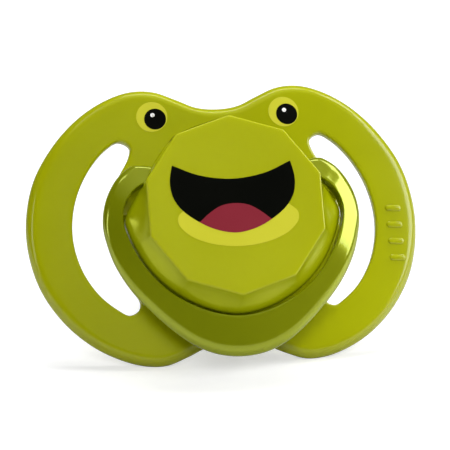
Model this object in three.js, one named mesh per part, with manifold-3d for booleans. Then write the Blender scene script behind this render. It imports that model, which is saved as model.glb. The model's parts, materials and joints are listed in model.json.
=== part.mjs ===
// A baby's pacifier with a frog's face: a bowed shield with two vents, a ten-sided knob, a heart-shaped
// ring handle that swings on a bar behind the knob, and a hollow orthodontic nipple held by a plug.
// It leans back on its nipple, as it comes to rest on a table. Millimetres, +Z up.
import * as THREE from "three";
import { mergeVertices } from "three/addons/utils/BufferGeometryUtils.js";
import Module from "manifold-3d";

const wasm = await Module();
wasm.setup();

// ---------------------------------------------------------------------------------------------
// Driving dimensions. Every part is drawn in the pacifier's own frame: X to the right as the face
// is looked at, Y from the face back towards the nipple, Z up the shield. Y is 0 at the middle of
// the shield's front.
// ---------------------------------------------------------------------------------------------
const GAP = 0.3; // between pieces that touch or are pressed together
const INK_GAP = 0.1; // between neighbouring colours of the printed face
const FAR = 30; // beyond the edge of any piece, for cuts that run right through

// Shield: a plate that bows back at the sides, so that it follows a baby's cheeks.
const SHIELD_THICK = 2.4;
const BOW_X = 0.004; // the front face lies at y = BOW_X x^2 + BOW_Z z^2
const BOW_Z = 0.0007;
const SHIELD_HALF = [
  [0, 17.05], [3.1, 17.45], [5.9, 18.75], [9.2, 20.15], [12.5, 20.4], [16.1, 19.45], [20.3, 17.05],
  [24.4, 13], [27.7, 7.4], [29, 0], [27.7, -7.5], [24.6, -13.1], [20.5, -17.2], [16.4, -19.6],
  [12.9, -20.7], [10.1, -20.8], [7.1, -19.8], [3.8, -18.4], [0, -17.7],
];
const VENT = [
  [14.9, 12.6], [16.7, 11.7], [19.1, 9.2], [21.1, 5.7], [22.2, 1.8], [22.3, -2.1], [21.3, -6.2],
  [19.2, -9.9], [16.6, -12.4], [15, -13.3], [13.7, -12.7], [13.4, -11.4], [14.9, -8.8],
  [16.2, -5.8], [16.9, -2.4], [17, 0.9], [16.6, 4], [15.3, 7.2], [13.7, 10], [13.4, 11.6],
];
const HUB_RADIUS = 10.6; // the boss round the nipple's seat
const HUB_FRONT = -1.6;
const SEAT_RADIUS = 8.4; // the counterbore that takes the nipple's flange and the plug's
const SEAT_FLOOR = 1;
const NECK_HOLE_RADIUS = 5.9;
const COLLAR_RADIUS = 8.2; // the low collar round the nipple on the shield's back
const COLLAR_BACK = 4;
const SIZE_MARK = { x: 25.3, z: -2.7, pitch: 2.5, count: 4, length: 2.5, width: 0.95, high: 0.25 };

// Hinge: the handle's bar snaps into two saddle posts on the hub.
const HINGE_Y = -5.2;
const HINGE_Z = 5.6;
const BAR_RADIUS = 1.25;
const BAR_HALF = 11.4; // half the bar's length, into the handle's arms
const POST = { in: 7.7, out: 10.1, bottom: 3.7, top: 7.5, front: -6.1, mouth: 1.05 };
const REST_PAD = { in: 13.3, out: 15.7, bottom: 0.2, top: 2.9 }; // the handle lies on these

// Ring handle: a band between two outlines, with a round bar across its top.
const HANDLE_FRONT = -7;
const HANDLE_BACK = -3.8;
const HANDLE_EYE = [0, -4]; // both outlines are looked at from this point
const HANDLE_OUTER = [
  [0, 7.7], [6, 7.8], [10.8, 7.85], [13.3, 7.5], [15.6, 6.1], [17.3, 3.8], [18.3, 1.2],
  [18.6, -1.5], [18.2, -4.1], [17.2, -7.3], [15.2, -10.9], [12.6, -14.1], [9.7, -17],
  [6.6, -19.35], [3.4, -20.75], [0, -21.2],
];
const HANDLE_INNER = [
  [0, 4.2], [6, 4.2], [10.6, 4.3], [12.6, 4.05], [14.2, 3], [15.4, 1.3], [15.9, -0.8],
  [15.6, -2.8], [14.7, -5.2], [13.5, -7.5], [11.8, -9.9], [9.5, -12.1], [6.8, -13.8],
  [3.6, -15.1], [0, -15.65],
];

// Knob: a ten-sided gem whose sides flare back into a round skirt inside the handle.
const KNOB_SIDES = 10;
const KNOB_RADIUS = 13.2; // to a corner of the face
const KNOB_CENTRE_Z = -0.25;
const KNOB_FACE = -9.9;
const KNOB_EDGE = 0.3; // the bevel round the face
const KNOB_WALL = 1.5;
const KNOB_FLARE = 0.45; // the share of the way out to the skirt that the side is at half its depth
const KNOB_SKIRT = -6.2; // where the flare ends and the straight skirt begins
const KNOB_BACK = -4.3;
const KNOB_TOP_BACK = -7.8; // the skirt stops here over the handle's arms
const KNOB_BASE = [
  [0, 13.5], [4.6, 12.8], [8.6, 10.6], [11.4, 7.4], [12.9, 3.9], [14.4, 1.5], [15.5, -1],
  [15.1, -3], [14.15, -5.4], [12.7, -8], [10.9, -10.2], [8.65, -12.15], [6, -13.7],
  [3.15, -14.8], [0, -15.3],
];
const SOCKET_RADIUS = 3.9; // the tube behind the face that the plug's stem is welded into
const STEM_RADIUS = 2.5;

// Nipple: silicone, with a flange in the shield's seat, a round neck and a flattened bulb.
const NIPPLE_WALL = 1.4;
const FLANGE_RADIUS = 8;
const FLANGE_FRONT = -0.2;
const FLANGE_BACK = 0.7;
const NECK_RADIUS = 5.6;
const BULB = [
  // y, half width, top, bottom
  [4.5, 5.6, 5.6, -5.6], [8, 5.4, 5.4, -5.3], [11, 5.9, 5.4, -5.2], [14.5, 7.3, 6, -5.7],
  [18.5, 8.6, 6.8, -6.4], [22.5, 9, 7.3, -6.9], [26.2, 8.3, 7.2, -6.6], [29.2, 6.4, 6.2, -5.1],
  [31, 3.9, 4.6, -3.1], [31.8, 1.9, 2.8, -1.1],
];
const BULB_TIP = [32, 0.9]; // y, z
const PLUG_TUBE_RADIUS = 3.8;
const PLUG_BACK = 6.5;

// The printed face, flush with the plastic. Points are x, z.
const INK_DEEP = 0.55; // the shallow pocket that a print lies in
const INK_TOP = 0.04;
const INK_BOTTOM = 0.3;
const EYE = { x: 9.8, z: 16, radius: 2.28 };
const PUPIL = { dx: 0.45, dz: -0.37, radius: 1.6 };
const GLINT = { dx: -0.34, dz: 0.62, radius: 0.32 };
const MOUTH_SHIFT = [-0.25, -0.1]; // the black and red are printed a little off centre
const LIP_SHIFT = [0.2, 0];
const LIP_UNDER = 0.6; // how far the lip's outline runs in under the mouth
const MOUTH_CORNER = [8.5, 5.85];
const MOUTH_TOP = [[0, 3.55], [4.75, 4.25]];
const MOUTH_LOWER = [[0, -4.3], [2.8, -3.75], [5.2, -2.55], [7.5, -0.7], [8.65, 1.2], [8.95, 3.4]];
const TONGUE = [[0, -0.03], [2, -0.35], [3.7, -1.35], [5.05, -2.5]];
const LIP = [
  [0, -6.38], [2.4, -6.2], [4.9, -5.6], [7.2, -4.45], [8.55, -2.9], [8.55, -1.7], [7.7, -0.8],
];

// ---------------------------------------------------------------------------------------------
// Shapes
// ---------------------------------------------------------------------------------------------
const bow = (x, z) => BOW_X * x * x + BOW_Z * z * z;
const flipX = ([x, z]) => [-x, z];
const shifted = (loop, [dx, dz]) => loop.map(([x, z]) => [x + dx, z + dz]);

// The whole outline from its right half, listed from top to bottom.
const bothSides = (half) => [...half, ...half.slice(1, -1).reverse().map(flipX)];

// n points along the smooth closed curve through the given points.
function smoothLoop(points, n) {
  const curve = new THREE.CatmullRomCurve3(points.map(([x, z]) => new THREE.Vector3(x, z, 0)), true);
  return curve.getSpacedPoints(n).slice(0, n).map((p) => [p.x, p.y]);
}

// The smooth curve through an arch's right half and its mirror image, as n + 1 points from the
// middle out. The half is listed from the middle out too.
function smoothArch(half, n) {
  const whole = [...half.slice(1).reverse().map(flipX), ...half];
  const curve = new THREE.SplineCurve(whole.map(([x, z]) => new THREE.Vector2(x, z)));
  return curve.getPoints(2 * n).slice(n).map((p) => [p.x, p.y]);
}

const circle = (x, z, radius, n) =>
  Array.from({ length: n }, (_, i) => {
    const angle = (2 * Math.PI * i) / n;
    return [x + radius * Math.cos(angle), z + radius * Math.sin(angle)];
  });

// A closed loop moved in by a distance, square to itself.
function inset(loop, distance) {
  const turn = Math.sign(THREE.ShapeUtils.area(loop.map(([x, z]) => new THREE.Vector2(x, z))));
  return loop.map(([x, z], i) => {
    const [x0, z0] = loop.at(i - 1);
    const [x1, z1] = loop[(i + 1) % loop.length];
    const length = Math.hypot(x1 - x0, z1 - z0);
    return [x - (turn * distance * (z1 - z0)) / length, z + (turn * distance * (x1 - x0)) / length];
  });
}

// Where a loop lies in n even directions from a point, as distances. The first is straight up.
function radii(loop, [cx, cz], n) {
  const at = loop
    .map(([x, z]) => [Math.atan2(x - cx, z - cz), Math.hypot(x - cx, z - cz)])
    .sort((a, b) => a[0] - b[0]);
  const turned = at.map(([angle, r]) => [angle + 2 * Math.PI, r]);
  const all = [...at, ...turned, [turned[0][0] + 2 * Math.PI, turned[0][1]]];
  return Array.from({ length: n }, (_, i) => {
    const angle = (2 * Math.PI * i) / n;
    const k = all.findIndex(([a]) => a > angle);
    const [a0, r0] = all[k - 1];
    const [a1, r1] = all[k];
    return r0 + ((r1 - r0) * (angle - a0)) / (a1 - a0);
  });
}

const polar = (radius, i, n, [cx, cz]) => {
  const angle = (2 * Math.PI * i) / n;
  return [cx + radius * Math.sin(angle), cz + radius * Math.cos(angle)];
};

// ---------------------------------------------------------------------------------------------
// Solids
// ---------------------------------------------------------------------------------------------
function solid(geometry) {
  const bare = geometry.index ? geometry.toNonIndexed() : geometry.clone();
  bare.deleteAttribute("normal");
  bare.deleteAttribute("uv");
  const merged = mergeVertices(bare, 1e-4);
  return new wasm.Manifold(new wasm.Mesh({
    numProp: 3,
    vertProperties: new Float32Array(merged.attributes.position.array),
    triVerts: new Uint32Array(merged.index.array),
  }));
}

function geometryOf(manifold) {
  const mesh = manifold.getMesh();
  const geometry = new THREE.BufferGeometry();
  geometry.setAttribute("position", new THREE.BufferAttribute(mesh.vertProperties, 3));
  geometry.setIndex(new THREE.BufferAttribute(mesh.triVerts, 1));
  geometry.computeVertexNormals();
  return geometry;
}

// Quads between rings of equal count. A ring may be a single point, which closes that end.
function skin(rings, closed = false) {
  const corners = rings.flat();
  const starts = rings.map((_, i) => rings.slice(0, i).reduce((sum, ring) => sum + ring.length, 0));
  const faces = [];
  const last = closed ? rings.length : rings.length - 1;
  for (let i = 0; i < last; i++) {
    const j = (i + 1) % rings.length;
    const n = Math.max(rings[i].length, rings[j].length);
    const at = (ring, k) => starts[ring] + (rings[ring].length === 1 ? 0 : k % n);
    for (let k = 0; k < n; k++) {
      const [a, b, c, d] = [at(i, k), at(i, k + 1), at(j, k + 1), at(j, k)];
      if (a !== b) faces.push(a, b, c);
      if (c !== d) faces.push(a, c, d);
    }
  }
  const geometry = new THREE.BufferGeometry();
  geometry.setAttribute("position", new THREE.Float32BufferAttribute(corners.flat(), 3));
  geometry.setIndex(faces);
  return solid(geometry);
}

// An outline of x, z points carried straight back from yFront to yBack.
function prism(loop, yFront, yBack) {
  const shape = new THREE.Shape(loop.map(([x, z]) => new THREE.Vector2(x, z)));
  const options = { depth: yBack - yFront, bevelEnabled: false, curveSegments: 1 };
  const geometry = new THREE.ExtrudeGeometry(shape, options);
  return solid(geometry.rotateX(Math.PI / 2).translate(0, yBack, 0));
}

const disc = (x, z, radius, yFront, yBack, n = 40) => prism(circle(x, z, radius, n), yFront, yBack);

function block(xLow, xHigh, yFront, yBack, zLow, zHigh) {
  const geometry = new THREE.BoxGeometry(xHigh - xLow, yBack - yFront, zHigh - zLow);
  return solid(geometry.translate((xLow + xHigh) / 2, (yFront + yBack) / 2, (zLow + zHigh) / 2));
}

// A round bar along X on the hinge's axis.
function hingeBar(radius, xLow, xHigh, n = 24) {
  const geometry = new THREE.CylinderGeometry(radius, radius, xHigh - xLow, n).rotateZ(Math.PI / 2);
  return solid(geometry.translate((xLow + xHigh) / 2, HINGE_Y, HINGE_Z));
}

// The layer between two depths behind the shield's bowed front, over a round patch.
function bowedLayer(x, z, radius, deepFront, deepBack) {
  const edge = (deep) => circle(x, z, radius, 28).map(([px, pz]) => [px, bow(px, pz) + deep, pz]);
  const middle = (deep) => [[x, bow(x, z) + deep, z]];
  return skin([middle(deepBack), edge(deepBack), edge(deepFront), middle(deepFront)]);
}

// ---------------------------------------------------------------------------------------------
// Parts
// ---------------------------------------------------------------------------------------------
const RIM = [
  // inset, depth behind the front face: a sloping front edge and a rounded back edge
  [2.4, 0], [0.9, 0], [0.45, 0.4], [0.1, 0.85], [0, 1.35], [0.25, 1.95], [1.1, SHIELD_THICK],
];

function shieldPlate() {
  const n = 104;
  const loop = smoothLoop(bothSides(SHIELD_HALF), n);
  const spokes = [0.3, 0.6, 0.82];
  const lay = (points, deep) => points.map(([x, z]) => [x, bow(x, z) + deep, z]);
  const inner = inset(loop, RIM[0][0]);
  const shrunk = (share) => inner.map(([x, z]) => [x * share, z * share]);
  return skin([
    [[0, 0, 0]],
    ...spokes.map((share) => lay(shrunk(share), 0)),
    ...RIM.map(([by, deep]) => lay(inset(loop, by), deep)),
    ...spokes.toReversed().map((share) => lay(shrunk(share), SHIELD_THICK)),
    [[0, SHIELD_THICK, 0]],
  ]);
}

function sizeMark(x, z) {
  const { length, width, high } = SIZE_MARK;
  const capsule = circle(0, 0, width / 2, 12).map(([px, pz]) => [
    x + px + (Math.sign(px) * (length - width)) / 2,
    z + pz,
  ]);
  return prism(capsule, bow(x, z) - high, bow(x, z) + 1);
}

function makeShield() {
  let shield = shieldPlate();
  shield = shield.add(disc(0, 0, HUB_RADIUS, HUB_FRONT, SEAT_FLOOR + 0.5, 48));
  shield = shield.add(disc(0, 0, COLLAR_RADIUS, SEAT_FLOOR + 1, COLLAR_BACK, 48));
  for (const side of [-1, 1]) {
    const [postLow, postHigh] = [side * POST.in, side * POST.out].sort((a, b) => a - b);
    const [padLow, padHigh] = [side * REST_PAD.in, side * REST_PAD.out].sort((a, b) => a - b);
    shield = shield
      .add(block(postLow, postHigh, POST.front, SEAT_FLOOR, POST.bottom, POST.top))
      .add(block(padLow, padHigh, HANDLE_BACK + GAP, SEAT_FLOOR + 1, REST_PAD.bottom, REST_PAD.top))
      .subtract(hingeBar(BAR_RADIUS + GAP / 2, postLow - 1, postHigh + 1))
      .subtract(block(postLow - 1, postHigh + 1, POST.front - 1, HINGE_Y,
        HINGE_Z - POST.mouth, HINGE_Z + POST.mouth))
      .subtract(prism(smoothLoop(VENT.map(([x, z]) => [side * x, z]), 56), -FAR, FAR))
      .subtract(bowedLayer(side * EYE.x, EYE.z, EYE.radius + INK_GAP, -INK_DEEP, INK_DEEP));
  }
  shield = shield.subtract(disc(0, 0, SEAT_RADIUS, -FAR, SEAT_FLOOR, 48));
  shield = shield.subtract(disc(0, 0, NECK_HOLE_RADIUS, -FAR, FAR, 40));
  for (let i = 0; i < SIZE_MARK.count; i++) {
    const z = SIZE_MARK.z + (i - (SIZE_MARK.count - 1) / 2) * SIZE_MARK.pitch;
    shield = shield.add(sizeMark(SIZE_MARK.x, z));
  }
  return shield;
}

// The band's section, from the inner edge (across 0) to the outer edge (across 1), as across, y.
const HANDLE_SECTION = [
  [0, HANDLE_BACK - 0.5], [0, HANDLE_FRONT + 0.3], [0.06, HANDLE_FRONT],
  [0.45, HANDLE_FRONT + 0.6], [0.84, HANDLE_FRONT + 1.2], [0.95, HANDLE_FRONT + 1.6],
  [1, HANDLE_FRONT + 2.1], [0.96, HANDLE_BACK - 0.5], [0.8, HANDLE_BACK], [0.1, HANDLE_BACK],
];

function makeHandle() {
  const n = 84;
  const outer = radii(smoothLoop(bothSides(HANDLE_OUTER), 400), HANDLE_EYE, n);
  const inner = radii(smoothLoop(bothSides(HANDLE_INNER), 400), HANDLE_EYE, n);
  const rings = HANDLE_SECTION.map(([across, y]) =>
    outer.map((_, i) => {
      const [x, z] = polar(inner[i] + across * (outer[i] - inner[i]), i, n, HANDLE_EYE);
      return [x, y, z];
    }));
  const clear = POST.out + 2 * GAP;
  return skin(rings, true)
    .subtract(block(-clear, clear, -FAR, 0, 0, FAR))
    .add(hingeBar(BAR_RADIUS, -BAR_HALF, BAR_HALF));
}

// The knob's ten-sided outline with n points to a side, scaled to a corner radius.
function decagon(radius, perSide) {
  const n = KNOB_SIDES * perSide;
  return Array.from({ length: n }, (_, i) => {
    const side = Math.floor(i / perSide);
    const along = (i % perSide) / perSide;
    const [x0, z0] = polar(radius, side, KNOB_SIDES, [0, KNOB_CENTRE_Z]);
    const [x1, z1] = polar(radius, side + 1, KNOB_SIDES, [0, KNOB_CENTRE_Z]);
    return [x0 + (x1 - x0) * along, z0 + (z1 - z0) * along];
  });
}

// The skirt's outline at the directions of the ten-sided outline's own points.
function knobBase(perSide, wall) {
  const fine = smoothLoop(bothSides(KNOB_BASE), 600);
  const around = decagon(KNOB_RADIUS, perSide);
  const from = [0, KNOB_CENTRE_Z];
  return around.map(([x, z]) => {
    const angle = Math.atan2(x - from[0], z - from[1]);
    const [px, pz] = fine.reduce((best, p) => {
      const off = (q) => 1 - Math.cos(Math.atan2(q[0] - from[0], q[1] - from[1]) - angle);
      return off(p) < off(best) ? p : best;
    });
    const radius = Math.hypot(px - from[0], pz - from[1]) - wall;
    return [from[0] + radius * Math.sin(angle), from[1] + radius * Math.cos(angle)];
  });
}

const between = (loopA, loopB, share) =>
  loopA.map(([x, z], i) => [x + (loopB[i][0] - x) * share, z + (loopB[i][1] - z) * share]);

function makeKnob() {
  const perSide = 6;
  const at = (loop, y) => loop.map(([x, z]) => [x, y, z]);
  const face = decagon(KNOB_RADIUS, perSide);
  const base = knobBase(perSide, 0);
  const hollowFace = decagon(KNOB_RADIUS - KNOB_WALL, perSide);
  const hollowBase = knobBase(perSide, KNOB_WALL);
  const middle = (KNOB_FACE + KNOB_SKIRT) / 2;
  const outside = skin([
    [[0, KNOB_FACE, KNOB_CENTRE_Z]],
    at(decagon(KNOB_RADIUS - KNOB_EDGE, perSide), KNOB_FACE),
    at(face, KNOB_FACE + KNOB_EDGE),
    at(between(face, base, KNOB_FLARE), middle),
    at(base, KNOB_SKIRT),
    at(base, KNOB_BACK),
    [[0, KNOB_BACK, KNOB_CENTRE_Z]],
  ]);
  const hollow = skin([
    [[0, KNOB_FACE + KNOB_WALL, KNOB_CENTRE_Z]],
    at(hollowFace, KNOB_FACE + KNOB_WALL),
    at(hollowBase, KNOB_SKIRT),
    at(hollowBase, KNOB_BACK + 1),
    [[0, KNOB_BACK + 1, KNOB_CENTRE_Z]],
  ]);
  const socketBack = HINGE_Y + BAR_RADIUS;
  return cutPocket(outside
    .subtract(hollow)
    .subtract(block(-FAR, FAR, KNOB_TOP_BACK, KNOB_BACK + 2, REST_PAD.top + GAP, FAR))
    .add(disc(0, 0, SOCKET_RADIUS, KNOB_FACE + 1, socketBack, 32))
    .subtract(disc(0, 0, STEM_RADIUS + GAP, KNOB_FACE + KNOB_WALL, socketBack + 1, 32)));
}

function makeNipple() {
  const n = 36;
  const ring = (y, half, top, bottom) =>
    Array.from({ length: n }, (_, i) => {
      const angle = (2 * Math.PI * i) / n;
      const [across, up] = [Math.sin(angle), Math.cos(angle)];
      return [half * across, y, (top + bottom) / 2 + ((top - bottom) / 2) * up];
    });
  const round = (radius, y) => ring(y, radius, radius, -radius);
  const thinned = ([y, half, top, bottom]) =>
    ring(y, half - NIPPLE_WALL, top - NIPPLE_WALL, bottom + NIPPLE_WALL);
  const inside = BULB.slice(0, -1);
  return skin([
    [[0, BULB_TIP[0] - NIPPLE_WALL, BULB_TIP[1]]],
    ...inside.toReversed().map(thinned),
    round(NECK_RADIUS - NIPPLE_WALL, FLANGE_FRONT),
    round(FLANGE_RADIUS, FLANGE_FRONT),
    round(FLANGE_RADIUS, FLANGE_BACK),
    round(NECK_RADIUS, FLANGE_BACK),
    ...BULB.map((station) => ring(...station)),
    [[0, BULB_TIP[0], BULB_TIP[1]]],
  ]);
}

function makePlug() {
  const stemFront = KNOB_FACE + KNOB_WALL + GAP;
  const flangeFront = HUB_FRONT + 0.1;
  const flangeBack = FLANGE_FRONT - GAP;
  const profile = [
    [0, stemFront], [STEM_RADIUS, stemFront], [STEM_RADIUS, flangeFront],
    [FLANGE_RADIUS, flangeFront], [FLANGE_RADIUS, flangeBack], [PLUG_TUBE_RADIUS, flangeBack],
    [PLUG_TUBE_RADIUS, PLUG_BACK], [STEM_RADIUS, PLUG_BACK], [STEM_RADIUS, flangeBack], [0, flangeBack],
  ];
  return solid(new THREE.LatheGeometry(profile.map(([r, y]) => new THREE.Vector2(r, y)), 32));
}

// ---------------------------------------------------------------------------------------------
// The printed face
// ---------------------------------------------------------------------------------------------
const mouthTop = () => smoothArch([...MOUTH_TOP, MOUTH_CORNER], 8);
const mouthLower = () => smoothArch([...MOUTH_LOWER, MOUTH_CORNER], 18);
const tongueTop = () => smoothArch(TONGUE, 8);
const lipOuter = () => smoothArch(LIP, 18);
const mouthLoop = () => bothSides([...mouthTop(), ...mouthLower().reverse().slice(1)]);

// The mouth's lower edge from a height down to the middle.
const lowerEdge = (below) => mouthLower().reverse().filter(([, z]) => z < below);

const tongueLoop = () => bothSides([...tongueTop(), ...lowerEdge(TONGUE.at(-1)[1])]);

// The lip runs a little way in under the mouth, which is then cut out of it.
const lipInner = () => lowerEdge(LIP.at(-1)[1]).map(([x, z]) => [0.9 * x, z + LIP_UNDER]);
const lipLoop = () => bothSides([...lipInner().reverse(), ...lipOuter().reverse()]);

const mouthPlaced = () => shifted(mouthLoop(), MOUTH_SHIFT);
const tonguePlaced = () => shifted(tongueLoop(), MOUTH_SHIFT);
const lipPlaced = () => shifted(lipLoop(), LIP_SHIFT);
const throughFace = (loop) => prism(loop, -FAR, FAR);
const onKnob = (loop) => prism(loop, KNOB_FACE + INK_TOP, KNOB_FACE + INK_BOTTOM);

// Cuts the shallow pocket in the knob's face that the mouth and the lip lie in.
function cutPocket(knob) {
  return [mouthPlaced(), lipPlaced()].reduce(
    (left, loop) => left.subtract(prism(inset(loop, -INK_GAP), -FAR, KNOB_FACE + INK_DEEP)),
    knob);
}

function mouthPrint() {
  return onKnob(inset(mouthPlaced(), INK_GAP / 2)).subtract(
    throughFace(inset(tonguePlaced(), -INK_GAP / 2)));
}

function lipPrint() {
  return onKnob(lipPlaced()).subtract(throughFace(inset(mouthPlaced(), -INK_GAP / 2)));
}

function eyePrints(side) {
  const pupil = [side * EYE.x + PUPIL.dx, EYE.z + PUPIL.dz];
  const glint = [pupil[0] + GLINT.dx, pupil[1] + GLINT.dz];
  const patch = (x, z, radius) => disc(x, z, radius, -FAR, FAR, 28);
  const layer = (x, z, radius) => bowedLayer(x, z, radius, INK_TOP, INK_BOTTOM);
  return {
    eye: layer(side * EYE.x, EYE.z, EYE.radius).subtract(patch(...pupil, PUPIL.radius + INK_GAP)),
    pupil: layer(...pupil, PUPIL.radius).subtract(patch(...glint, GLINT.radius + INK_GAP)),
    glint: layer(...glint, GLINT.radius),
  };
}

// ---------------------------------------------------------------------------------------------
// Materials and the assembly
// ---------------------------------------------------------------------------------------------
const plastic = (color, roughness, metalness = 0) =>
  new THREE.MeshStandardMaterial({ color, roughness, metalness });
const LIME = plastic(0xa9ae14, 0.42);
const GLOSSY_LIME = plastic(0x8f9a10, 0.12, 0.6);
const CLEAR_SILICONE = plastic(0xe9ecdf, 0.3);
const WHITE_PLUG = plastic(0xdfe2c8, 0.45);
const YELLOW_INK = plastic(0xd3d13f, 0.4);
const BLACK_INK = plastic(0x0a0b07, 0.35);
const RED_INK = plastic(0x8f2d3b, 0.4);
const WHITE_INK = plastic(0xf2f2f2, 0.35);

const pacifier = new THREE.Group();

function place(name, manifold, material) {
  const mesh = new THREE.Mesh(geometryOf(manifold), material);
  mesh.name = name;
  pacifier.add(mesh);
}

place("shield", makeShield(), LIME);
place("ring_handle", makeHandle(), GLOSSY_LIME);
place("knob", makeKnob(), LIME);
place("nipple", makeNipple(), CLEAR_SILICONE);
place("nipple_plug", makePlug(), WHITE_PLUG);
place("mouth_print", mouthPrint(), BLACK_INK);
place("tongue_print", onKnob(tonguePlaced()), RED_INK);
place("lip_print", lipPrint(), YELLOW_INK);
for (const [side, name] of [[-1, "left"], [1, "right"]]) {
  const prints = eyePrints(side);
  place(`eye_print_${name}`, prints.eye, YELLOW_INK);
  place(`pupil_print_${name}`, prints.pupil, BLACK_INK);
  place(`glint_print_${name}`, prints.glint, WHITE_INK);
}

// How low a piece reaches when the pacifier leans back by an angle.
function lowest(name, angle) {
  const { array } = pacifier.getObjectByName(name).geometry.attributes.position;
  let low = Infinity;
  for (let i = 0; i < array.length; i += 3) {
    low = Math.min(low, array[i + 2] * Math.cos(angle) - array[i + 1] * Math.sin(angle));
  }
  return low;
}

// The angle at which the shield's two lower lobes and the nipple stand on one level.
function restingLean() {
  let [less, more] = [0, Math.PI / 3];
  for (let i = 0; i < 40; i++) {
    const middle = (less + more) / 2;
    if (lowest("nipple", middle) > lowest("shield", middle)) less = middle;
    else more = middle;
  }
  return less;
}

// Lean it back, then stand the middle of its box on the origin.
pacifier.rotation.x = -restingLean();
const box = new THREE.Box3().setFromObject(pacifier, true);
pacifier.position.set(-(box.min.x + box.max.x) / 2, -(box.min.y + box.max.y) / 2, -box.min.z);

export default pacifier;
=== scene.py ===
# The looks of a frog-faced pacifier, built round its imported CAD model. Every shape is drawn in the
# pacifier's own frame, in millimetres: X to the right as the face is looked at, Y from the face back
# towards the nipple, Z up the shield. It is then leaned back on its nipple with the CAD model.
import json
import math

import bmesh
import bpy
import numpy as np
from mathutils import Matrix, Vector
from mathutils.geometry import delaunay_2d_cdt

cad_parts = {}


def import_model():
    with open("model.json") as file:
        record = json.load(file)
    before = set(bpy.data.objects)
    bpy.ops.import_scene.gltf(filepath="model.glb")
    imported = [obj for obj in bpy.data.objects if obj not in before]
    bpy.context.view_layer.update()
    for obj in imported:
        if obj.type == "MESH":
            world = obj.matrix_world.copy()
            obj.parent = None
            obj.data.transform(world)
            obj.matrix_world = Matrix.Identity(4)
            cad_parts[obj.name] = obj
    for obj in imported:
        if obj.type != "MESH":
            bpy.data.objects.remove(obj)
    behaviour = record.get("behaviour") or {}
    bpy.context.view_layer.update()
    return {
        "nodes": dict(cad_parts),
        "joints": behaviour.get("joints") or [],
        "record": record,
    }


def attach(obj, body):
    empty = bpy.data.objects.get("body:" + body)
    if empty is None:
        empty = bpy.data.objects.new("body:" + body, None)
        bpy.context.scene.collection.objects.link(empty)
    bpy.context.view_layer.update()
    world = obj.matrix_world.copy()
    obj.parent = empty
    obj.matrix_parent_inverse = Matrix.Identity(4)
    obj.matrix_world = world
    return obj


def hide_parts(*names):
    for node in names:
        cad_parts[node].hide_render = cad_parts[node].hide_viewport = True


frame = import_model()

MM = 0.001
BODY, HANDLE = "body", "handle"

# ------------------------------------------------------------------ dimensions, in millimetres
BOW_X, BOW_Z = 0.004, 0.0007  # the shield's front lies at y = BOW_X x^2 + BOW_Z z^2
SHIELD_THICK = 2.4
SHIELD_HALF = [
    (0, 17.05), (3.1, 17.45), (5.9, 18.75), (9.2, 20.15), (12.5, 20.4), (16.1, 19.45), (20.3, 17.05),
    (24.4, 13), (27.7, 7.4), (29, 0), (27.7, -7.5), (24.6, -13.1), (20.5, -17.2), (16.4, -19.6),
    (12.9, -20.7), (10.1, -20.8), (7.1, -19.8), (3.8, -18.4), (0, -17.7),
]
VENT = [
    (14.9, 12.6), (16.7, 11.7), (19.1, 9.2), (21.1, 5.7), (22.2, 1.8), (22.3, -2.1), (21.3, -6.2),
    (19.2, -9.9), (16.6, -12.4), (15, -13.3), (13.7, -12.7), (13.4, -11.4), (14.9, -8.8),
    (16.2, -5.8), (16.9, -2.4), (17, 0.9), (16.6, 4), (15.3, 7.2), (13.7, 10), (13.4, 11.6),
]
RIM = [  # inset, depth: the front rounds over a shoulder and down a slope to the back
    (2.1, 0), (1.55, 0.0), (1.3, 0.015), (1.1, 0.06), (0.92, 0.13), (0.74, 0.24), (0.56, 0.39),
    (0.4, 0.57), (0.26, 0.77), (0.14, 0.98), (0.05, 1.2), (0, 1.42), (0.04, 1.65), (0.16, 1.88),
    (0.36, 2.1), (0.6, 2.26), (0.85, 2.36), (1.1, 2.4),
]
VENT_FRONT, VENT_BACK = (0.45, 0.45), (1.2, 1.3)  # how far a rounded edge reaches, how deep
HUB_RADIUS, HUB_FRONT, SEAT_RADIUS, SEAT_FLOOR = 10.6, -1.6, 8.4, 1.0
NECK_HOLE_RADIUS, COLLAR_RADIUS, COLLAR_BACK = 5.9, 8.2, 4.0
HUB_EDGE, COLLAR_EDGE = 0.3, 0.4  # how far their edges are rounded
HUB_ROOT, COLLAR_ROOT = 1.2, 2.2  # how deep each starts inside the shield
MARK_X, MARK_Z, MARK_PITCH, MARK_COUNT = 25.3, -2.7, 2.5, 4
MARK_LENGTH, MARK_WIDTH, MARK_HIGH = 2.5, 0.95, 0.25
MARK_ROOT = 0.4  # how deep a mark starts inside the shield

HINGE_Y, HINGE_Z, BAR_RADIUS = -5.2, 5.6, 1.25
POST_IN, POST_OUT, POST_BOTTOM, POST_TOP, POST_FRONT, POST_MOUTH = 7.7, 10.1, 3.7, 7.5, -6.1, 1.05
POST_BACK, BAR_CLEAR = 1, 0.15
PAD_IN, PAD_OUT, PAD_BOTTOM, PAD_TOP, PAD_FRONT, PAD_BACK = 13.3, 15.7, 0.2, 2.9, -3.5, 2.2

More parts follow.
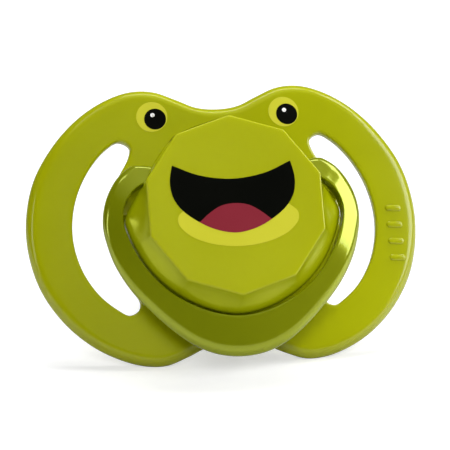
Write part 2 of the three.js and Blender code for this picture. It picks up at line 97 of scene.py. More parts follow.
HANDLE_FRONT, HANDLE_BACK = -7.0, -3.8
HANDLE_EYE = (0, -4)  # both outlines are looked at from this point
HANDLE_WIDE = 3.1  # the band's usual width
ARM_IN, ARM_TURN = 10.4, 1.6  # where the bar starts to turn into the band, and over what width
HANDLE_OUTER = [
    (0, 7.7), (6, 7.8), (10.8, 7.85), (13.3, 7.5), (15.6, 6.1), (17.3, 3.8), (18.3, 1.2),
    (18.6, -1.5), (18.2, -4.1), (17.2, -7.3), (15.2, -10.9), (12.6, -14.1), (9.7, -17),
    (6.6, -19.35), (3.4, -20.75), (0, -21.2),
]
HANDLE_INNER = [
    (0, 4.2), (6, 4.2), (10.6, 4.3), (12.6, 4.05), (14.2, 3), (15.4, 1.3), (15.9, -0.8),
    (15.6, -2.8), (14.7, -5.2), (13.5, -7.5), (11.8, -9.9), (9.5, -12.1), (6.8, -13.8),
    (3.6, -15.1), (0, -15.65),
]

KNOB_SIDES, KNOB_RADIUS, KNOB_CENTRE_Z = 10, 13.2, -0.25
KNOB_FACE, KNOB_WALL, KNOB_SKIRT, KNOB_BACK, KNOB_TOP_BACK = -9.9, 1.5, -6.2, -4.3, -7.8
KNOB_FLARE = 1.5  # over 1, the sides flare most near their back edge
KNOB_OPEN_Z = 3.2  # above this the skirt stops short, to clear the handle's arms
KNOB_STEP = 0.7  # the height over which it does
KNOB_EDGE, KNOB_LIP = 0.35, 0.25  # how far the face's edge and the back edge are rounded
KNOB_CORNER = 0.35  # how far the ten corners are softened
KNOB_BASE = [
    (0, 13.5), (4.6, 12.8), (8.6, 10.6), (11.4, 7.4), (12.9, 3.9), (14.4, 1.5), (15.5, -1),
    (15.1, -3), (14.15, -5.4), (12.7, -8), (10.9, -10.2), (8.65, -12.15), (6, -13.7),
    (3.15, -14.8), (0, -15.3),
]

NIPPLE_WALL, FLANGE_RADIUS, FLANGE_FRONT, FLANGE_BACK = 1.4, 8.0, -0.2, 0.7
FLANGE_EDGE = 0.3
NECK_RADIUS, NECK_START = 5.6, 2.2
NARROWEST = 2.9  # the nipple's hollow ends where its half width is down to this
BULB = [  # y, half width, top, bottom
    (4.5, 5.6, 5.6, -5.6), (8, 5.4, 5.4, -5.3), (11, 5.9, 5.4, -5.2), (14.5, 7.3, 6, -5.7),
    (18.5, 8.6, 6.8, -6.4), (22.5, 9, 7.3, -6.9), (26.2, 8.3, 7.2, -6.6), (29.2, 6.4, 6.2, -5.1),
    (31, 3.9, 4.6, -3.1), (31.8, 1.9, 2.8, -1.1),
]
BULB_TIP = (32, 0.9)

INK_PROUD, INK_DEEP = 0.03, 0.1  # how far a print stands in front of the plastic, and goes in
EYE_X, EYE_Z, EYE_RADIUS = 9.8, 16, 2.28
PUPIL_DX, PUPIL_DZ, PUPIL_RADIUS = 0.45, -0.37, 1.6
GLINT_DX, GLINT_DZ, GLINT_RADIUS = -0.34, 0.62, 0.32
MOUTH_SHIFT, LIP_SHIFT = (-0.25, -0.1), (0.2, 0)  # the prints sit a little off centre
LIP_UNDER = 0.6  # how far the lip runs in under the mouth
MOUTH_CORNER = (8.5, 5.85)
MOUTH_TOP = [(0, 3.55), (4.75, 4.25)]
MOUTH_LOWER = [(0, -4.3), (2.8, -3.75), (5.2, -2.55), (7.5, -0.7), (8.65, 1.2), (8.95, 3.4)]
TONGUE = [(0, -0.03), (2, -0.35), (3.7, -1.35), (5.05, -2.5)]
LIP = [(0, -6.38), (2.4, -6.2), (4.9, -5.6), (7.2, -4.45), (8.55, -2.9), (8.55, -1.7), (7.7, -0.8)]

# ------------------------------------------------------------------ the pacifier's own frame
JOINT = frame["joints"][0]
FACE_AXIS = Vector(frame["record"]["mounts"][0]["axis"])
LEAN = math.atan2(FACE_AXIS.z, -FACE_AXIS.y)
TURN = Matrix.Rotation(-LEAN, 4, "X")
HINGE_AT = Vector(JOINT["pos_m"])
OWN = (Matrix.Translation(HINGE_AT - TURN @ Vector((0, HINGE_Y * MM, HINGE_Z * MM)))
       @ TURN @ Matrix.Scale(MM, 4))

# ------------------------------------------------------------------ camera, first
CAMERA_AZ, CAMERA_EL, CAMERA_ROLL = math.radians(-8.57), math.radians(-13.21), math.radians(-4.665)
CAMERA_AWAY = 350
CAMERA_SHIFT = (-0.0044, -0.0138)
SENSOR, LENS = 36, 192.48


def add_camera():
    back = Vector((math.sin(CAMERA_AZ) * math.cos(CAMERA_EL),
                   -math.cos(CAMERA_AZ) * math.cos(CAMERA_EL), math.sin(CAMERA_EL)))
    right = Vector((math.cos(CAMERA_AZ), math.sin(CAMERA_AZ), 0))
    up = right.cross(-back)
    if up.z < 0:
        up = -up
    across = right * math.cos(CAMERA_ROLL) + up * math.sin(CAMERA_ROLL)
    above = up * math.cos(CAMERA_ROLL) - right * math.sin(CAMERA_ROLL)
    turned = [(TURN.to_3x3() @ v).normalized() for v in (across, above, back)]
    data = bpy.data.cameras.new("camera")
    camera = bpy.data.objects.new("camera", data)
    bpy.context.scene.collection.objects.link(camera)
    matrix = Matrix(turned).transposed().to_4x4()
    matrix.translation = OWN @ (back * CAMERA_AWAY)
    camera.matrix_world = matrix
    data.sensor_width = SENSOR
    data.lens = LENS
    data.shift_x, data.shift_y = CAMERA_SHIFT
    data.clip_start = 0.01
    data.clip_end = 20
    bpy.context.scene.camera = camera


add_camera()


# ------------------------------------------------------------------ curves
def bow(x, z):
    return BOW_X * x * x + BOW_Z * z * z


def mirrored(half):
    """The whole outline from its right half, listed from top to bottom."""
    return list(half) + [(-x, z) for x, z in reversed(half[1:-1])]


def through(points, closed, steps=24):
    """A smooth centripetal curve through points."""
    p = np.array(points, float)
    if closed:
        p = np.vstack([p[-1:], p, p[:2]])
    else:
        p = np.vstack([2 * p[:1] - p[1:2], p, 2 * p[-1:] - p[-2:-1]])
    out = []
    t = np.linspace(0, 1, steps, endpoint=False)[:, None]
    for a, b, c, d in zip(p, p[1:], p[2:], p[3:]):
        u, v, w = (max(np.linalg.norm(q - r), 1e-9) ** 0.5 for q, r in ((b, a), (c, b), (d, c)))
        m = ((b - a) / u - (c - a) / (u + v) + (c - b) / v) * v
        n = ((c - b) / v - (d - b) / (v + w) + (d - c) / w) * v
        out.append((2 * t**3 - 3 * t**2 + 1) * b + (t**3 - 2 * t**2 + t) * m
                   + (3 * t**2 - 2 * t**3) * c + (t**3 - t**2) * n)
    if not closed:
        out.append(p[-2:-1])
    return np.vstack(out)


def even_loop(loop, n):
    """n points at even spacing round a closed loop."""
    ring = np.vstack([loop, loop[:1]])
    far = np.concatenate([[0], np.cumsum(np.linalg.norm(np.diff(ring, axis=0), axis=1))])
    at = np.linspace(0, far[-1], n, endpoint=False)
    return np.column_stack([np.interp(at, far, ring[:, k]) for k in range(ring.shape[1])])


def arch(half, n):
    """The right half of the smooth arch through half and its mirror image, from the middle out."""
    whole = [(-x, z) for x, z in reversed(half[1:])] + list(half)
    curve = through(whole, False)
    right = curve[len(curve) // 2:]
    far = np.concatenate([[0], np.cumsum(np.linalg.norm(np.diff(right, axis=0), axis=1))])
    at = np.linspace(0, far[-1], n)
    return np.column_stack([np.interp(at, far, right[:, k]) for k in range(2)])


def area(loop):
    x, z = loop[:, 0], loop[:, 1]
    return 0.5 * np.sum(x * np.roll(z, -1) - z * np.roll(x, -1))


def inset(loop, distance):
    """A closed loop moved in by a distance, square to itself."""
    along = np.roll(loop, -1, 0) - np.roll(loop, 1, 0)
    along /= np.linalg.norm(along, axis=1)[:, None]
    return loop + np.sign(area(loop)) * distance * np.column_stack([-along[:, 1], along[:, 0]])


def circle(x, z, radius, n):
    a = np.linspace(0, 2 * math.pi, n, endpoint=False)
    return np.column_stack([x + radius * np.sin(a), z + radius * np.cos(a)])


def inside(points, loop):
    """Which points lie inside a closed loop."""
    x, z = points[:, 0][:, None], points[:, 1][:, None]
    x0, z0 = loop[:, 0], loop[:, 1]
    x1, z1 = np.roll(x0, -1), np.roll(z0, -1)
    crosses = (z0 > z) != (z1 > z)
    with np.errstate(divide="ignore", invalid="ignore"):
        at = x0 + (z - z0) * (x1 - x0) / (z1 - z0)
    return (np.sum(crosses & (x < at), axis=1) % 2) == 1


def from_eye(loop, eye, angles):
    """A loop's distances from a point in the given directions, with 0 straight up."""
    d = loop - np.array(eye)
    a = np.mod(np.arctan2(d[:, 0], d[:, 1]), 2 * math.pi)
    order = np.argsort(a)
    return np.interp(np.mod(angles, 2 * math.pi), a[order], np.linalg.norm(d, axis=1)[order],
                     period=2 * math.pi)


# ------------------------------------------------------------------ meshes
MERGE = 2e-6  # metres
SHARP = math.radians(38)


def lay(loop, y):
    """x, z points at a depth, as x, y, z."""
    return np.column_stack([loop[:, 0], np.broadcast_to(y, len(loop)), loop[:, 1]])


def make(name, points, faces, body, slot, material, replaces=()):
    """A smooth-shaded piece from points in the pacifier's own frame."""
    mesh = bpy.data.meshes.new(name)
    mesh.from_pydata([tuple(OWN @ Vector(p)) for p in points], [], faces)
    build = bmesh.new()
    build.from_mesh(mesh)
    bmesh.ops.remove_doubles(build, verts=build.verts, dist=MERGE)
    bmesh.ops.recalc_face_normals(build, faces=build.faces)
    build.to_mesh(mesh)
    build.free()
    mesh.shade_smooth()
    mesh.set_sharp_from_angle(angle=SHARP)
    piece = bpy.data.objects.new(name, mesh)
    bpy.context.scene.collection.objects.link(piece)
    mesh.materials.append(material)
    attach(piece, body)
    if replaces:
        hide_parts(*replaces)
    return piece


def skin(rings, closed=False):
    """Points and quads between rings of equal count. A ring of one point closes an end."""
    points = np.vstack(rings)
    starts = np.cumsum([0] + [len(r) for r in rings])
    faces = []
    for i in range(len(rings) if closed else len(rings) - 1):
        j = (i + 1) % len(rings)
        n = max(len(rings[i]), len(rings[j]))
        for k in range(n):
            a, b = starts[i] + k % len(rings[i]), starts[i] + (k + 1) % n % len(rings[i])
            c, d = starts[j] + (k + 1) % n % len(rings[j]), starts[j] + k % len(rings[j])
            faces.append(tuple(dict.fromkeys(int(v) for v in (a, b, c, d))))
    return points, faces


def sheet_between(outer, holes, spacing):
    """Triangles that fill a flat outline round its holes, as x, z points and faces."""
    loops = [outer, *holes]
    low, high = outer.min(0), outer.max(0)
    x, z = np.meshgrid(np.arange(low[0], high[0], spacing), np.arange(low[1], high[1], spacing))
    x = x + (np.arange(x.shape[0]) % 2)[:, None] * spacing / 2
    grid = np.column_stack([x.ravel(), z.ravel()])
    keep = inside(grid, outer)
    for hole in holes:
        keep &= ~inside(grid, hole)
    for loop in loops:
        gap = np.linalg.norm(grid[:, None] - loop[None, ::2], axis=2).min(1)
        keep &= gap > spacing * 0.55
    edges, start = [], 0
    for loop in loops:
        n = len(loop)
        edges += [(start + k, start + (k + 1) % n) for k in range(n)]
        start += n
    points = np.vstack([*loops, grid[keep]])
    made = delaunay_2d_cdt([Vector(p) for p in points], edges, [], 0, 1e-6)
    flat = np.array([tuple(v) for v in made[0]])
    faces = np.array([f for f in made[2] if len(f) == 3])
    middle = flat[faces].mean(1)
    good = inside(middle, outer)
    for hole in holes:
        good &= ~inside(middle, hole)
    return flat, [tuple(int(v) for v in f) for f in faces[good]]


def join(parts):
    """Several (points, faces) as one."""
    points, faces, start = [], [], 0
    for p, f in parts:
        points.append(np.asarray(p))
        faces += [tuple(v + start for v in face) for face in f]
        start += len(p)
    return np.vstack(points), faces


def quarter(steps=8):
    return np.linspace(0, math.pi / 2, steps + 1)


def edge_profile(front, back, thick):
    """A plate's rounded edge as inset, depth pairs, from its front face to its back face."""
    ahead = [(front[0] * (1 - math.sin(a)), front[1] * (1 - math.cos(a))) for a in quarter()]
    behind = [(back[0] * (1 - math.cos(a)), thick - back[1] * (1 - math.sin(a)))
              for a in quarter()]
    return ahead + behind


def turned_about_y(profile, n=96):
    """A closed (radius, y) profile turned about the Y axis."""
    return skin([lay(circle(0, 0, r, n), y) for r, y in profile], closed=True)


def rounded_box(low, high, radius=0.2, steps=4):
    """A box with rounded edges, as rings along its X."""
    corners = [(high[1] - radius, high[2] - radius, 0), (low[1] + radius, high[2] - radius, 1),
               (low[1] + radius, low[2] + radius, 2), (high[1] - radius, low[2] + radius, 3)]
    rings = []
    ends = [(low[0] + radius * (1 - math.sin(a)), radius * (1 - math.cos(a))) for a in quarter(steps)]
    ends += [(high[0] - (x - low[0]), shrink) for x, shrink in reversed(ends)]
    for x, shrink in ends:
        ring = []
        for y, z, turn in corners:
            for a in quarter(steps):
                r = radius - shrink
                ring.append((x, y + r * math.cos(a + turn * math.pi / 2),
                             z + r * math.sin(a + turn * math.pi / 2)))
        rings.append(np.array(ring))
    first, last = rings[0].mean(0)[None], rings[-1].mean(0)[None]
    return skin([first, *rings, last])


# ------------------------------------------------------------------ materials
DRIFT_SCALE, GLOSS_SCALE = 60, 400  # noise per metre
RELIEF = 0.00004  # metres


def linear(red, green, blue):
    """A colour given as the eye sees it, 0 to 255, as light."""
    def one(c):
        c /= 255
        return c / 12.92 if c <= 0.04045 else ((c + 0.055) / 1.055) ** 2.4
    return (one(red), one(green), one(blue), 1)


def plastic(name, dark, light, roughness, spread, grain, bump, **sockets):
    """Moulded plastic: slow colour drift, fine uneven gloss and a faint moulded grain."""
    material = bpy.data.materials.new(name)
    material.use_nodes = True
    nodes, links = material.node_tree.nodes, material.node_tree.links
    shader = nodes["Principled BSDF"]
    place = nodes.new("ShaderNodeTexCoord")

    def noise(scale, detail):
        node = nodes.new("ShaderNodeTexNoise")
        node.inputs["Scale"].default_value = scale
        node.inputs["Detail"].default_value = detail
        links.new(place.outputs["Object"], node.inputs["Vector"])
        return node.outputs["Fac"]

    drift = nodes.new("ShaderNodeValToRGB")
    drift.color_ramp.elements[0].position = 0.3
    drift.color_ramp.elements[0].color = linear(*dark)
    drift.color_ramp.elements[1].position = 0.7
    drift.color_ramp.elements[1].color = linear(*light)
    links.new(noise(DRIFT_SCALE, 2), drift.inputs["Fac"])
    links.new(drift.outputs["Color"], shader.inputs["Base Color"])
    gloss = nodes.new("ShaderNodeMapRange")
    gloss.inputs["To Min"].default_value = roughness - spread
    gloss.inputs["To Max"].default_value = roughness + spread
    links.new(noise(GLOSS_SCALE, 3), gloss.inputs["Value"])
    links.new(gloss.outputs["Result"], shader.inputs["Roughness"])
    relief = nodes.new("ShaderNodeBump")
    relief.inputs["Strength"].default_value = bump
    relief.inputs["Distance"].default_value = RELIEF
    links.new(noise(grain, 4), relief.inputs["Height"])
    links.new(relief.outputs["Normal"], shader.inputs["Normal"])
    for socket, value in sockets.items():
        shader.inputs[socket.replace("_", " ")].default_value = value
    return material


SATIN = dict(Subsurface_Weight=0.3, Subsurface_Radius=(0.9, 0.9, 0.2), Subsurface_Scale=0.0012)
SHIELD_LIME = plastic("shield_lime", (158, 163, 1), (166, 171, 3), 0.17, 0.02, 2600, 0.06,
                      Specular_IOR_Level=0.55, **SATIN)
KNOB_LIME = plastic("knob_lime", (165, 169, 12), (170, 174, 17), 0.2, 0.02, 2600, 0.06,
                    Specular_IOR_Level=0.35, **SATIN)
KNOB_SIDE = plastic("knob_side_lime", (168, 176, 3), (175, 182, 6), 0.2, 0.02, 900, 0.05,
                    Metallic=0.3, Specular_IOR_Level=0.35)
HANDLE_LIME = plastic("handle_lime", (150, 161, 2), (157, 167, 5), 0.14, 0.01, 150, 0.03,
                      Metallic=0.5, Coat_Weight=0.6, Coat_Roughness=0.05)
SILICONE = plastic("clear_silicone", (240, 241, 234), (248, 248, 243), 0.22, 0.05, 1500, 0.2,
                   Transmission_Weight=0.35, IOR=1.41, Subsurface_Weight=0.3,
                   Subsurface_Radius=(1, 1, 0.9), Subsurface_Scale=0.002)
PLUG_WHITE = plastic("plug_white", (218, 220, 200), (226, 228, 210), 0.45, 0.05, 2600, 0.25)
INK = dict(Specular_IOR_Level=0.08)
YELLOW_INK = plastic("yellow_ink", (196, 194, 48), (202, 200, 55), 0.4, 0.04, 3000, 0.12, **INK)
BLACK_INK = plastic("black_ink", (4, 5, 3), (9, 10, 6), 0.38, 0.04, 3000, 0.12, **INK)
RED_INK = plastic("red_ink", (129, 38, 50), (135, 44, 56), 0.4, 0.04, 3000, 0.12, **INK)
WHITE_INK = plastic("white_ink", (244, 244, 244), (250, 250, 250), 0.35, 0.04, 3000, 0.15, **INK)


# ------------------------------------------------------------------ shield
def shield():
    outer = even_loop(through(mirrored(SHIELD_HALF), True), 520)
    right = even_loop(through(VENT, True), 240)
    vents = [right, right * (-1, 1)]
    vent_rim = edge_profile(VENT_FRONT, VENT_BACK, SHIELD_THICK)

    def bent(loop, deep):
        return lay(loop, bow(loop[:, 0], loop[:, 1]) + deep)

    parts = [skin([bent(inset(outer, by), deep) for by, deep in RIM])]
    for vent in vents:
        parts.append(skin([bent(inset(vent, -by), deep) for by, deep in vent_rim]))
    for which, deep in ((0, 0), (-1, SHIELD_THICK)):
        flat, faces = sheet_between(inset(outer, RIM[which][0]),
                                    [inset(v, -vent_rim[which][0]) for v in vents], 0.75)
        parts.append((bent(flat, deep), faces))
    return join(parts)


def hub():
    """The seat for the nipple's flange in front, and the collar behind."""
    r = HUB_EDGE
    front = [(SEAT_RADIUS, SEAT_FLOOR), (SEAT_RADIUS, HUB_FRONT + r)]
    front += [(SEAT_RADIUS + r * (1 - math.cos(a)), HUB_FRONT + r * (1 - math.sin(a)))
              for a in quarter(4)]
    front += [(HUB_RADIUS - r * (1 - math.sin(a)), HUB_FRONT + r * (1 - math.cos(a)))
              for a in quarter(4)]
    front += [(HUB_RADIUS, HUB_ROOT)]
    r = COLLAR_EDGE
    back = [(COLLAR_RADIUS, COLLAR_ROOT), (COLLAR_RADIUS, COLLAR_BACK - r)]
    back += [(COLLAR_RADIUS - r * (1 - math.cos(a)), COLLAR_BACK - r * (1 - math.sin(a)))
             for a in quarter(4)]
    back += [(NECK_HOLE_RADIUS, COLLAR_BACK), (NECK_HOLE_RADIUS, SEAT_FLOOR)]
    return turned_about_y(front + back)


def post(side):
    """A saddle that the handle's bar snaps into."""
    radius = BAR_RADIUS + BAR_CLEAR
    start = math.asin(POST_MOUTH / radius)
    arc = np.linspace(start, 2 * math.pi - start, 24)
    outline = [(POST_FRONT, HINGE_Z + POST_MOUTH)]
    outline += [(HINGE_Y - radius * math.cos(a), HINGE_Z + radius * math.sin(a)) for a in arc]
    outline += [(POST_FRONT, HINGE_Z - POST_MOUTH), (POST_FRONT, POST_BOTTOM),
                (POST_BACK, POST_BOTTOM), (POST_BACK, POST_TOP), (POST_FRONT, POST_TOP)]
    outline = np.array(outline)
    rings = [np.column_stack([np.full(len(outline), side * x), outline]) for x in (POST_IN, POST_OUT)]
    points, faces = skin(rings)
    n = len(outline)
    return points, faces + [tuple(range(n)), tuple(range(2 * n - 1, n - 1, -1))]


def mark(z):
    """One raised dash on the right wing."""
    half, run = MARK_WIDTH / 2, (MARK_LENGTH - MARK_WIDTH) / 2
    rings = []
    for a in np.linspace(0, math.pi / 2, 7)[:-1]:
        ring = circle(0, 0, half * math.cos(a), 32)
        ring[:, 0] += MARK_X + np.sign(np.round(ring[:, 0], 6)) * run
        ring[:, 1] += z
        rings.append(lay(ring, bow(ring[:, 0], ring[:, 1]) - MARK_HIGH * math.sin(a)))
    low = rings[0] + (0, MARK_ROOT, 0)
    return skin([low.mean(0)[None], low, *rings, rings[-1].mean(0)[None]])


def hard_edges(piece, width=0.15):
    """Rounds a piece's square edges a little."""
    bevel = piece.modifiers.new("edges", "BEVEL")
    bevel.width = width * MM
    bevel.segments = 3
    bevel.limit_method = "ANGLE"
    bevel.angle_limit = math.radians(40)
    return piece


make("shield_plate", *shield(), BODY, "shield_plastic", SHIELD_LIME, ["shield"])
make("shield_hub", *hub(), BODY, "shield_plastic", SHIELD_LIME)
for side, word in ((-1, "left"), (1, "right")):
    hard_edges(make("hinge_post_" + word, *post(side), BODY, "shield_plastic", SHIELD_LIME))
    x = sorted((side * PAD_IN, side * PAD_OUT))
    pad = rounded_box((x[0], PAD_FRONT, PAD_BOTTOM), (x[1], PAD_BACK, PAD_TOP))
    make("rest_pad_" + word, *pad, BODY, "shield_plastic", SHIELD_LIME)
for i in range(MARK_COUNT):
    z = MARK_Z + (i - (MARK_COUNT - 1) / 2) * MARK_PITCH
    make("wing_mark_%d" % i, *mark(z), BODY, "shield_plastic", SHIELD_LIME)


# ------------------------------------------------------------------ ring handle
def handle_section():
    """The band's section from its inner edge, across 0, to its outer edge, across 1."""
    corners = [(0, HANDLE_BACK - 0.5), (0, HANDLE_FRONT + 0.7), (0.012, HANDLE_FRONT + 0.22),
               (0.035, HANDLE_FRONT + 0.03), (0.075, HANDLE_FRONT + 0.03),
               (0.15, HANDLE_FRONT + 0.14), (0.3, HANDLE_FRONT + 0.37), (0.5, HANDLE_FRONT + 0.68),
               (0.7, HANDLE_FRONT + 1), (0.8, HANDLE_FRONT + 1.2), (0.9, HANDLE_FRONT + 1.5),
               (0.97, HANDLE_FRONT + 1.9), (1, HANDLE_FRONT + 2.3), (0.96, HANDLE_BACK - 0.4),
               (0.8, HANDLE_BACK - 0.1), (0.5, HANDLE_BACK), (0.12, HANDLE_BACK)]
    return even_loop(through(corners, True), 84)


def handle():
    """The band, which turns into a round bar across its top."""
    n = 420
    angles = np.linspace(0, 2 * math.pi, n, endpoint=False)
    outer = from_eye(through(mirrored(HANDLE_OUTER), True), HANDLE_EYE, angles)
    inner = from_eye(through(mirrored(HANDLE_INNER), True), HANDLE_EYE, angles)
    middle = (inner + outer) / 2
    rings = []
    for across, y in handle_section():
        r = inner + across * (outer - inner)
        band = np.column_stack([HANDLE_EYE[0] + r * np.sin(angles), np.full(n, y),
                                HANDLE_EYE[1] + r * np.cos(angles)])
        x = HANDLE_EYE[0] + middle * np.sin(angles)
        d = np.array([(across - 0.5) * HANDLE_WIDE, y - HINGE_Y])
        d = d / np.linalg.norm(d) * BAR_RADIUS
        bar = np.column_stack([x, np.full(n, HINGE_Y + d[1]), np.full(n, HINGE_Z + d[0])])
        share = np.clip((np.abs(x) - ARM_IN) / ARM_TURN, 0, 1)
        share = np.where(np.cos(angles) > 0, share, 1)
        share = (share * share * (3 - 2 * share))[:, None]
        rings.append(bar + (band - bar) * share)
    return skin(rings, closed=True)


make("handle_ring", *handle(), HANDLE, "handle_plastic", HANDLE_LIME, ["ring_handle"])


# ------------------------------------------------------------------ knob
def decagon(radius, angles, rounding):
    """Distances to a ten-sided outline whose corners are softened, with a corner straight up."""
    step = 2 * math.pi / KNOB_SIDES
    off = np.mod(angles, step) - step / 2
    flat = radius * math.cos(step / 2)
    plain = flat / np.cos(off)
    arc = radius - rounding * 0.05
    soft = rounding / 12
    return -np.log(np.exp(-plain / soft) + np.exp(-arc / soft)) * soft


def knob():
    """A hollow cap: a flat face, a flaring side and a round back edge."""
    n = 720
    angles = np.linspace(0, 2 * math.pi, n, endpoint=False)
    eye = (0, KNOB_CENTRE_Z)
    base = from_eye(through(mirrored(KNOB_BASE), True), eye, angles)
    face = decagon(KNOB_RADIUS, angles, KNOB_CORNER)
    edge, lip = KNOB_EDGE, KNOB_LIP

    def ring(radius, y):
        return np.column_stack([radius * np.sin(angles), np.broadcast_to(y, n),
                                KNOB_CENTRE_Z + radius * np.cos(angles)])

    height = KNOB_CENTRE_Z + base * np.cos(angles)
    share = np.clip((height - KNOB_OPEN_Z) / KNOB_STEP + 0.5, 0, 1)
    end = KNOB_BACK + (KNOB_TOP_BACK - KNOB_BACK) * share * share * (3 - 2 * share)

    def wall(t, thick):
        """Radius and depth along the side, from the face's edge at 0 to its back edge at 1."""
        y = KNOB_FACE + edge + (end - KNOB_FACE - edge) * t
        s = np.clip((y - KNOB_FACE) / (KNOB_SKIRT - KNOB_FACE), 0, 1) ** KNOB_FLARE
        return face + (base - face) * s - thick, y

    rings = [ring(np.full(n, 1e-6), KNOB_FACE)[:1]]
    rings += [ring((face - edge) * k, KNOB_FACE) for k in (0.25, 0.5, 0.75, 0.92, 1)]
    for a in quarter(6)[1:]:
        rings.append(ring(face - edge * (1 - math.sin(a)), KNOB_FACE + edge * (1 - math.cos(a))))
    for t in np.linspace(0, 1, 22)[1:-1]:
        rings.append(ring(*wall(t, 0)))
    radius, y = wall(1.0, 0)
    rings += [ring(radius, y - 0.6 * lip), ring(radius - 0.4 * lip, y - 0.12 * lip), ring(radius - lip, y)]
    radius, y = wall(1.0, KNOB_WALL)
    rings += [ring(radius + lip, y), ring(radius + 0.4 * lip, y - 0.12 * lip), ring(radius, y - 0.6 * lip)]
    inner_face = KNOB_FACE + KNOB_WALL
    for t in np.linspace(1, 0, 8)[1:-1]:
        radius, y = wall(t, KNOB_WALL)
        rings.append(ring(radius, np.maximum(y, inner_face)))
    rings += [ring((face - KNOB_WALL) * k, inner_face) for k in (1, 0.5)]
    rings.append(ring(np.full(n, 1e-6), inner_face)[:1])
    return skin(rings)


def gloss_side(piece):
    """Gives the flaring side its own glossier finish."""
    piece.data.materials.append(KNOB_SIDE)
    back = OWN.inverted()
    for face in piece.data.polygons:
        middle = back @ face.center
        if KNOB_FACE + 0.42 < middle.y < KNOB_BACK - 0.2:
            face.material_index = 1


gloss_side(make("knob_cap", *knob(), BODY, "knob_plastic", KNOB_LIME, ["knob"]))


# ------------------------------------------------------------------ printed face
def slab(loop, front, back):
    """A thin plate with a closed outline, front(x, z) to back(x, z)."""
    outline = even_loop(loop, 260)
    flat, faces = sheet_between(outline, [], 0.5)
    ahead = lay(flat, front(flat[:, 0], flat[:, 1]))
    behind = lay(flat, back(flat[:, 0], flat[:, 1]))
    edge = skin([lay(outline, front(outline[:, 0], outline[:, 1])),
                 lay(outline, back(outline[:, 0], outline[:, 1]))])
    return join([(ahead, faces), (behind, faces), edge])


def on_knob(layer):
    """The front and back of a print on the knob's face. A higher layer stands further out."""
    proud = INK_PROUD * layer
    return lambda x, z: KNOB_FACE - proud + 0 * x, lambda x, z: KNOB_FACE + INK_DEEP + 0 * x


def on_shield(layer):
    """The front and back of a print on the shield's bowed front."""
    proud = INK_PROUD * layer
    return lambda x, z: bow(x, z) - proud, lambda x, z: bow(x, z) + INK_DEEP


def whole(right):
    """A closed outline from its right half, listed from top middle to bottom middle."""
    return np.vstack([right, (right * (-1, 1))[::-1][1:-1]])


mouth_top = arch([*MOUTH_TOP, MOUTH_CORNER], 60)
mouth_lower = arch([*MOUTH_LOWER, MOUTH_CORNER], 160)[::-1]
lip_outer = arch(LIP, 140)
tongue_top = arch(TONGUE, 60)
mouth = whole(np.vstack([mouth_top, mouth_lower[1:]]))
tongue_edge = mouth_lower[mouth_lower[:, 1] < TONGUE[-1][1]]
tongue = whole(np.vstack([tongue_top, tongue_edge]))
lip_edge = mouth_lower[mouth_lower[:, 1] < LIP[-1][1]][::-1] * (0.9, 1) + (0, LIP_UNDER)
lip = whole(np.vstack([lip_edge, lip_outer[::-1]]))
make("mouth", *slab(mouth + MOUTH_SHIFT, *on_knob(1.5)), BODY, "black_ink", BLACK_INK, ["mouth_print"])
make("tongue", *slab(tongue + MOUTH_SHIFT, *on_knob(2)), BODY, "red_ink", RED_INK, ["tongue_print"])
make("lower_lip", *slab(lip + LIP_SHIFT, *on_knob(1)), BODY, "yellow_ink", YELLOW_INK, ["lip_print"])
for side, word in ((-1, "left"), (1, "right")):
    x, z = side * EYE_X, EYE_Z
    for name, radius, material, slot, layer in (
            ("eye", EYE_RADIUS, YELLOW_INK, "yellow_ink", 1),
            ("pupil", PUPIL_RADIUS, BLACK_INK, "black_ink", 1.5),
            ("glint", GLINT_RADIUS, WHITE_INK, "white_ink", 2)):
        if name == "pupil":
            x, z = x + PUPIL_DX, z + PUPIL_DZ
        if name == "glint":
            x, z = x + GLINT_DX, z + GLINT_DZ
        disc = slab(circle(x, z, radius, 120), *on_shield(layer))
        make(f"{name}_{word}", *disc, BODY, slot, material, [f"{name}_print_{word}"])


# ------------------------------------------------------------------ nipple
def nipple():
    """A flange, a neck and a flattened bulb, hollow and open at the flange."""
    n = 96
    stations = through([(NECK_START, *[NECK_RADIUS] * 2, -NECK_RADIUS), *BULB], False, 8)

    def ring(y, half, top, bottom, thin=0.0):
        a = np.linspace(0, 2 * math.pi, n, endpoint=False)
        return np.column_stack([(half - thin) * np.sin(a), np.full(n, y),
                                (top + bottom) / 2 + ((top - bottom) / 2 - thin) * np.cos(a)])

    outside = [ring(*s) for s in stations]
    hollow = [ring(*s, thin=NIPPLE_WALL) for s in stations if s[1] > NARROWEST]
    flange = []
    r = FLANGE_EDGE
    for a in quarter(4):
        flange.append((FLANGE_RADIUS - r * (1 - math.sin(a)), FLANGE_FRONT + r * (1 - math.cos(a))))
    for a in quarter(4):
        flange.append((FLANGE_RADIUS - r * (1 - math.cos(a)), FLANGE_BACK - r * (1 - math.sin(a))))
    flange.append((NECK_RADIUS, FLANGE_BACK))
    rings = [np.array([[0, BULB_TIP[0] - NIPPLE_WALL, BULB_TIP[1]]]), *hollow[::-1]]
    rings.append(ring(FLANGE_FRONT, *([NECK_RADIUS - NIPPLE_WALL] * 2), NIPPLE_WALL - NECK_RADIUS))
    rings += [ring(y, radius, radius, -radius) for radius, y in flange]
    rings += [*outside, np.array([[0, BULB_TIP[0], BULB_TIP[1]]])]
    return skin(rings)


make("nipple_skin", *nipple(), BODY, "silicone", SILICONE, ["nipple"])
plug = frame["nodes"]["nipple_plug"]
plug.data.materials.clear()
plug.data.materials.append(PLUG_WHITE)


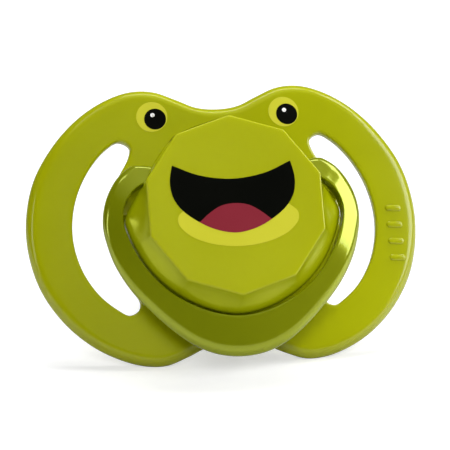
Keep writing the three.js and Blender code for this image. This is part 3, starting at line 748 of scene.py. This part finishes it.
# ------------------------------------------------------------------ studio, in metres
FLOOR_SIZE = 6
FLOOR_GREY = 0.6
FLOOR_GLOW = 0.5  # added for the camera alone
BACKDROP = 0.95  # what the camera sees past the floor
ROOM_ACROSS = (0.03, 0.1)  # the room's light from its left to its right
ROOM_UP = (0, 0.45)  # and from ROOM_RISE to straight overhead
ROOM_RISE = 0.75
AIM = Vector((0, 0, 0.02))


def floor():
    """White to the camera and a pale grey to everything else."""
    bpy.ops.mesh.primitive_plane_add(size=FLOOR_SIZE)
    plane = bpy.context.object
    plane.name = "floor"
    material = bpy.data.materials.new("floor_white")
    material.use_nodes = True
    nodes, links = material.node_tree.nodes, material.node_tree.links
    shader = nodes["Principled BSDF"]
    shader.inputs["Base Color"].default_value = (FLOOR_GREY, FLOOR_GREY, FLOOR_GREY, 1)
    shader.inputs["Roughness"].default_value = 0.35
    shader.inputs["Specular IOR Level"].default_value = 0.3
    shader.inputs["Emission Color"].default_value = (1, 1, 1, 1)
    path, glow = nodes.new("ShaderNodeLightPath"), nodes.new("ShaderNodeMath")
    glow.operation = "MULTIPLY"
    glow.inputs[1].default_value = FLOOR_GLOW
    links.new(path.outputs["Is Camera Ray"], glow.inputs[0])
    links.new(glow.outputs["Value"], shader.inputs["Emission Strength"])
    plane.data.materials.append(material)


def around(azimuth, elevation, away):
    """A place seen from the object, with azimuth 0 in front of the face and growing to the right."""
    a, e = math.radians(azimuth), math.radians(elevation)
    return Vector((away * math.sin(a) * math.cos(e), -away * math.cos(a) * math.cos(e),
                   away * math.sin(e)))


def softbox(name, at, size, power, mirrored=True):
    """A soft lamp aimed at the object. One that isn't mirrored gives light but no highlight."""
    data = bpy.data.lights.new(name, "AREA")
    data.shape = "RECTANGLE"
    data.size, data.size_y = size
    data.energy = power
    lamp = bpy.data.objects.new(name, data)
    bpy.context.scene.collection.objects.link(lamp)
    lamp.location = at
    lamp.visible_glossy = mirrored
    lamp.rotation_euler = (AIM - at).to_track_quat("-Z", "Y").to_euler()


def world():
    """White to the camera. Everything else sees a room that is brighter overhead and to the right."""
    made = bpy.data.worlds.new("studio")
    bpy.context.scene.world = made
    made.use_nodes = True
    nodes, links = made.node_tree.nodes, made.node_tree.links
    out = nodes["World Output"]
    seen, room = nodes["Background"], nodes.new("ShaderNodeBackground")
    seen.inputs["Color"].default_value = (BACKDROP, BACKDROP, BACKDROP, 1)
    place, split = nodes.new("ShaderNodeTexCoord"), nodes.new("ShaderNodeSeparateXYZ")
    links.new(place.outputs["Generated"], split.inputs["Vector"])
    strength = None
    for side, low, high, start in (("X", *ROOM_ACROSS, -1), ("Z", *ROOM_UP, ROOM_RISE)):
        ramp = nodes.new("ShaderNodeMapRange")
        ramp.inputs["From Min"].default_value = start
        ramp.inputs["To Min"].default_value = low
        ramp.inputs["To Max"].default_value = high
        links.new(split.outputs[side], ramp.inputs["Value"])
        if strength is None:
            strength = ramp.outputs["Result"]
            continue
        total = nodes.new("ShaderNodeMath")
        links.new(strength, total.inputs[0])
        links.new(ramp.outputs["Result"], total.inputs[1])
        strength = total.outputs["Value"]
    links.new(strength, room.inputs["Strength"])
    path, mix = nodes.new("ShaderNodeLightPath"), nodes.new("ShaderNodeMixShader")
    links.new(path.outputs["Is Camera Ray"], mix.inputs["Fac"])
    links.new(room.outputs["Background"], mix.inputs[1])
    links.new(seen.outputs["Background"], mix.inputs[2])
    links.new(mix.outputs["Shader"], out.inputs["Surface"])


floor()
world()
softbox("right", around(80, 27, 0.7), (0.5, 0.48), 3.2)
softbox("right_back", around(114, 46, 0.8), (0.3, 0.26), 0.9)
softbox("front", around(-8, 38, 0.9), (0.5, 0.4), 4.5, mirrored=False)
softbox("left_strip", around(-84, 18, 0.7), (0.1, 0.34), 0.3)
softbox("left_back", around(-109, 61, 0.8), (0.12, 0.2), 0.15)
softbox("crown", around(165, 66, 0.8), (0.5, 0.12), 0.8)
softbox("back_top", around(170, 62, 0.8), (0.6, 0.3), 5, mirrored=False)
bpy.context.scene.view_settings.view_transform = "Standard"
